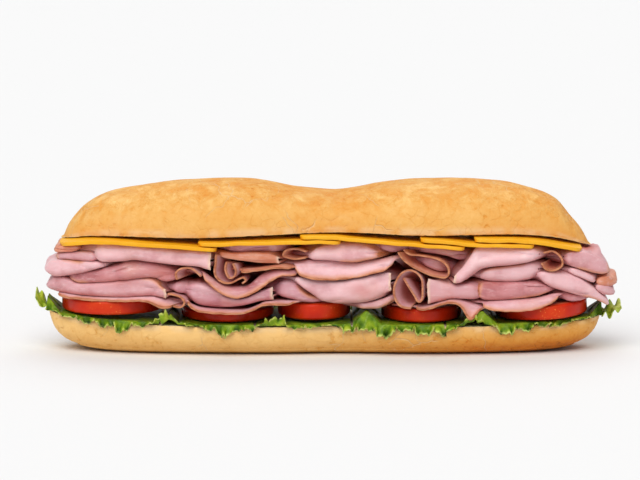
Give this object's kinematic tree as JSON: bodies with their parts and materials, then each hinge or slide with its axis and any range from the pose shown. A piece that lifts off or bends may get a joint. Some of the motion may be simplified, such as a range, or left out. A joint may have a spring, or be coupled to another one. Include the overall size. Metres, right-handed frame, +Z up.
{
  "type": "submarine sandwich",
  "caption": "Long submarine sandwich: a golden lobed split roll filled with curly lettuce, tomato, folded ham and sliced yellow cheese",
  "frame": {"origin": "under the middle of the sandwich, on the surface that it stands on", "axes": "+X along the roll, -Y towards the side that the picture shows, +Z up"},
  "size_m": [0.3255, 0.0848, 0.095],
  "materials": {
    "crust": "soft matt golden bread crust",
    "cheese": "smooth, slightly waxy yellow cheese",
    "tomato": "glossy red skin",
    "lettuce": "crisp green leaf with a soft sheen",
    "ham": "moist pink cooked ham with a tan rind"
  },
  "bodies": {
    "root": {"bun_bottom": "crust", "bun_top": "crust", "cheese_1": "cheese", "cheese_2": "cheese", "cheese_3": "cheese", "cheese_4": "cheese", "cheese_5": "cheese", "tomato_1": "tomato", "tomato_2": "tomato", "tomato_3": "tomato", "tomato_4": "tomato", "tomato_5": "tomato", "lettuce_1": "lettuce", "lettuce_2": "lettuce", "lettuce_3": "lettuce", "lettuce_4": "lettuce", "lettuce_5": "lettuce", "lettuce_6": "lettuce", "ham_left_base": "ham", "ham_left_low": "ham", "ham_left_middle": "ham", "ham_left_tongue": "ham", "ham_left_band": "ham", "ham_left_top": "ham", "ham_left_stub": "ham", "ham_left_small": "ham", "ham_drape_base": "ham", "ham_drape": "ham", "ham_sweep": "ham", "ham_sweep_top": "ham", "ham_tube": "ham", "ham_back": "ham", "ham_wedge": "ham", "ham_middle_top": "ham", "ham_middle_tuck": "ham", "ham_middle_band": "ham", "ham_middle_low": "ham", "ham_middle_base": "ham", "ham_wave": "ham", "ham_right_pink": "ham", "ham_loop_inner": "ham", "ham_loop_back": "ham", "ham_right_folded": "ham", "ham_right_upper": "ham", "ham_right_lower": "ham", "ham_right_base": "ham", "ham_right_under": "ham", "ham_right_leaf": "ham", "ham_right_inner": "ham", "ham_right_top": "ham", "ham_knob": "ham", "ham_right_tail": "ham", "ham_hook": "ham", "ham_left_lip": "ham", "ham_curl": "ham", "ham_curl_inner": "ham", "ham_small_loop": "ham", "ham_roll": "ham", "ham_loop": "ham", "ham_right_curl": "ham"}
  },
  "joints": []
}
